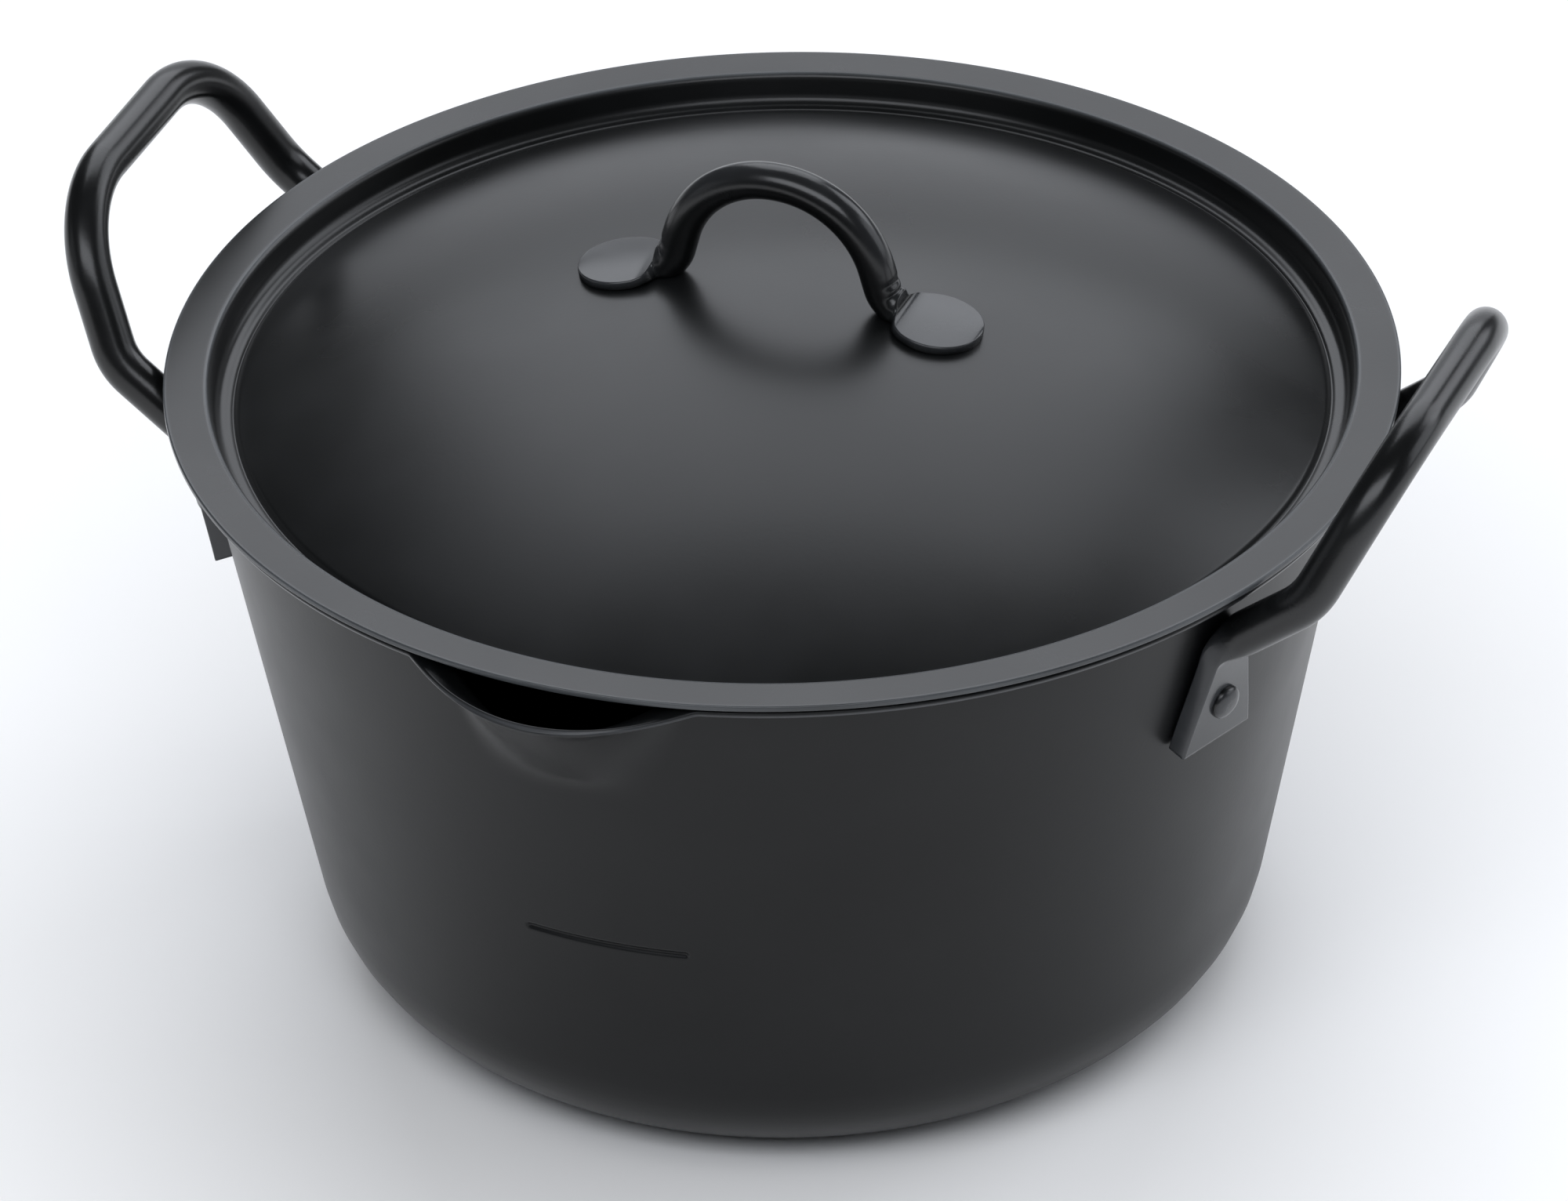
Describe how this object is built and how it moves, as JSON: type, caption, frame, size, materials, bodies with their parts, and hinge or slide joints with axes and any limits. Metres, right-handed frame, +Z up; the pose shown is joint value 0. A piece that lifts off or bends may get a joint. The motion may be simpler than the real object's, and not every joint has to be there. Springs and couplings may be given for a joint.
{
  "type": "covered cooking pot with two loop handles",
  "caption": "Deep black sheet-iron pot with a pouring spout, riveted loop handles and a domed lift-off lid with an arched handle.",
  "frame": {"origin": "centre of the pot's flat base, on its underside", "axes": "+Z up; the two side handles lie along X; the pouring spout faces -Y"},
  "size_m": [0.2984, 0.2631, 0.1848],
  "materials": {
    "pot_iron": "satin black baked-on seasoning over sheet iron",
    "handle_iron": "satin black baked-on seasoning over round iron bar",
    "rivet_iron": "satin black baked-on seasoning over solid rivets",
    "lid_iron": "satin black baked-on seasoning over sheet iron"
  },
  "bodies": {
    "pot": {"pot_body": "pot_iron", "handle_right": "handle_iron", "handle_left": "handle_iron", "rivet_right_front": "rivet_iron", "rivet_right_back": "rivet_iron", "rivet_left_front": "rivet_iron", "rivet_left_back": "rivet_iron"},
    "lid": {"lid_pan": "lid_iron", "lid_handle": "handle_iron"}
  },
  "joints": [
    {"name": "lid_lift", "type": "slide", "parent": "pot", "child": "lid", "axis": [0, 0, 1], "range_m": [0, 0.18]}
  ]
}
